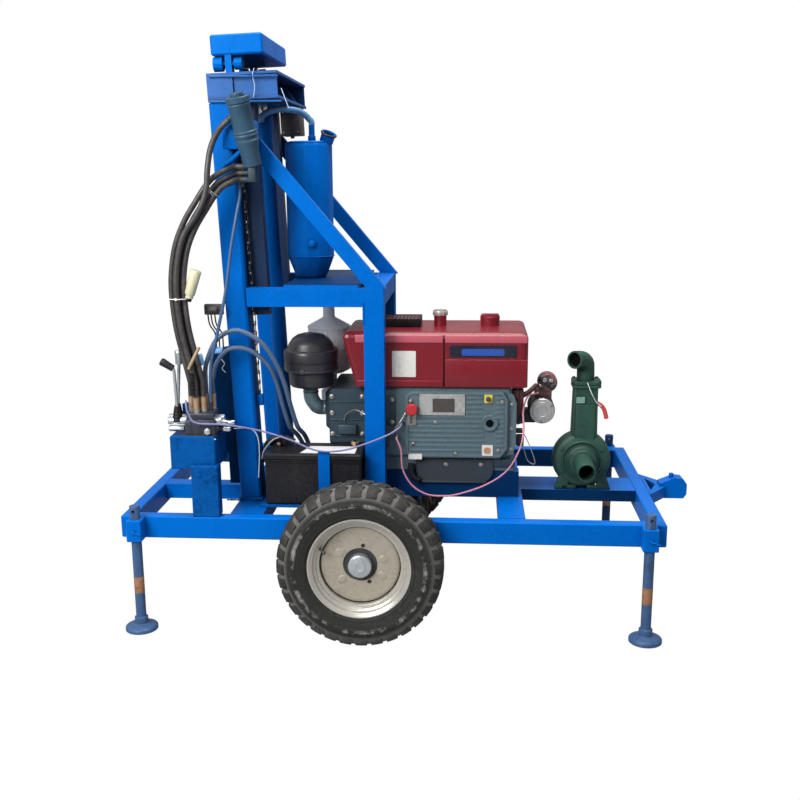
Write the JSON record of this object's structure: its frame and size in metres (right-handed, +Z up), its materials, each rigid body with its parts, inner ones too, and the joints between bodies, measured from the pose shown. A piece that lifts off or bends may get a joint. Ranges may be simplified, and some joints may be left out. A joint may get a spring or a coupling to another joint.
{
  "type": "trailer water well drilling rig",
  "caption": "Small hydraulic water well drilling rig on a two-wheeled trailer frame, with jack legs, a leaning mast, a lying diesel engine and a mud pump.",
  "frame": {"origin": "on the ground, under the middle of the rig's length from rear crossbar to hitch tip and midway between the wheels", "axes": "+X forwards to the hitch, +Y to the far side (the belt side of the engine), +Z up"},
  "size_m": [2.197, 1.404, 2.1825],
  "materials": {
    "frame_blue": "gloss",
    "engine_grey": "satin",
    "hood_red": "gloss",
    "dark_iron": "matte",
    "pump_green": "satin",
    "motor_grey": "satin",
    "silver_paint": "satin",
    "chrome": "polished",
    "bare_steel": "satin",
    "wheel_silver": "satin",
    "tyre_rubber": "matte",
    "hose_black": "satin",
    "battery_black": "matte",
    "oxide_red": "matte",
    "hose_blue": "satin",
    "cable_lilac": "satin",
    "cable_pink": "satin"
  },
  "bodies": {
    "chassis": {"chassis_frame": "frame_blue", "sill_mast": "frame_blue", "engine_subframe": "frame_blue", "hitch": "frame_blue", "axle": "frame_blue", "mast_column_near": "frame_blue", "mast_column_far": "frame_blue", "feed_barrel": "frame_blue", "support_frame": "frame_blue", "oil_tank": "frame_blue", "control_stand": "frame_blue", "battery_tray": "frame_blue", "feed_chain": "bare_steel", "feed_motor": "motor_grey", "valve_block": "dark_iron", "battery": "battery_black", "engine_crankcase": "engine_grey", "cylinder_head": "engine_grey", "engine_hood": "hood_red", "air_cleaner": "battery_black", "intake_elbow": "motor_grey", "muffler": "silver_paint", "flywheel": "dark_iron", "drive_belts": "tyre_rubber", "drive_pulley": "oxide_red", "gear_pump": "dark_iron", "generator": "dark_iron", "mud_pump": "pump_green", "motor_hose_1": "hose_black", "motor_hose_2": "hose_black", "motor_hose_3": "hose_black", "motor_hose_4": "hose_black", "arch_hose_upper": "hose_black", "arch_hose_lower": "hose_black", "drain_hose": "hose_blue", "tank_hose": "hose_blue", "throttle_cable": "cable_lilac", "charge_cable": "cable_pink"},
    "near_wheel": {"tyre_near": "tyre_rubber", "wheel_near": "wheel_silver"},
    "far_wheel": {"tyre_far": "tyre_rubber", "wheel_far": "wheel_silver"},
    "near_rear_leg": {"leg_near_rear": "frame_blue"},
    "near_front_leg": {"leg_near_front": "frame_blue"},
    "far_rear_leg": {"leg_far_rear": "frame_blue"},
    "far_front_leg": {"leg_far_front": "frame_blue"},
    "lift_frame": {"inner_mast": "frame_blue", "mast_cap": "frame_blue", "head_box": "dark_iron", "feed_rod": "chrome"}
  },
  "joints": [
    {"name": "near_wheel_turn", "type": "hinge", "parent": "chassis", "child": "near_wheel", "pos_m": [-0.1845, -0.627, 0.305], "axis": [0, 1, 0], "continuous": true},
    {"name": "far_wheel_turn", "type": "hinge", "parent": "chassis", "child": "far_wheel", "pos_m": [-0.1845, 0.627, 0.305], "axis": [0, 1, 0], "continuous": true},
    {"name": "near_rear_leg_lift", "type": "slide", "parent": "chassis", "child": "near_rear_leg", "axis": [0, 0, 1], "range_m": [0, 0.26]},
    {"name": "near_front_leg_lift", "type": "slide", "parent": "chassis", "child": "near_front_leg", "axis": [0, 0, 1], "range_m": [0, 0.26]},
    {"name": "far_rear_leg_lift", "type": "slide", "parent": "chassis", "child": "far_rear_leg", "axis": [0, 0, 1], "range_m": [0, 0.26]},
    {"name": "far_front_leg_lift", "type": "slide", "parent": "chassis", "child": "far_front_leg", "axis": [0, 0, 1], "range_m": [0, 0.26]},
    {"name": "mast_lift", "type": "slide", "parent": "chassis", "child": "lift_frame", "axis": [-0.0401, 0, 0.9992], "range_m": [0, 0.5]}
  ]
}
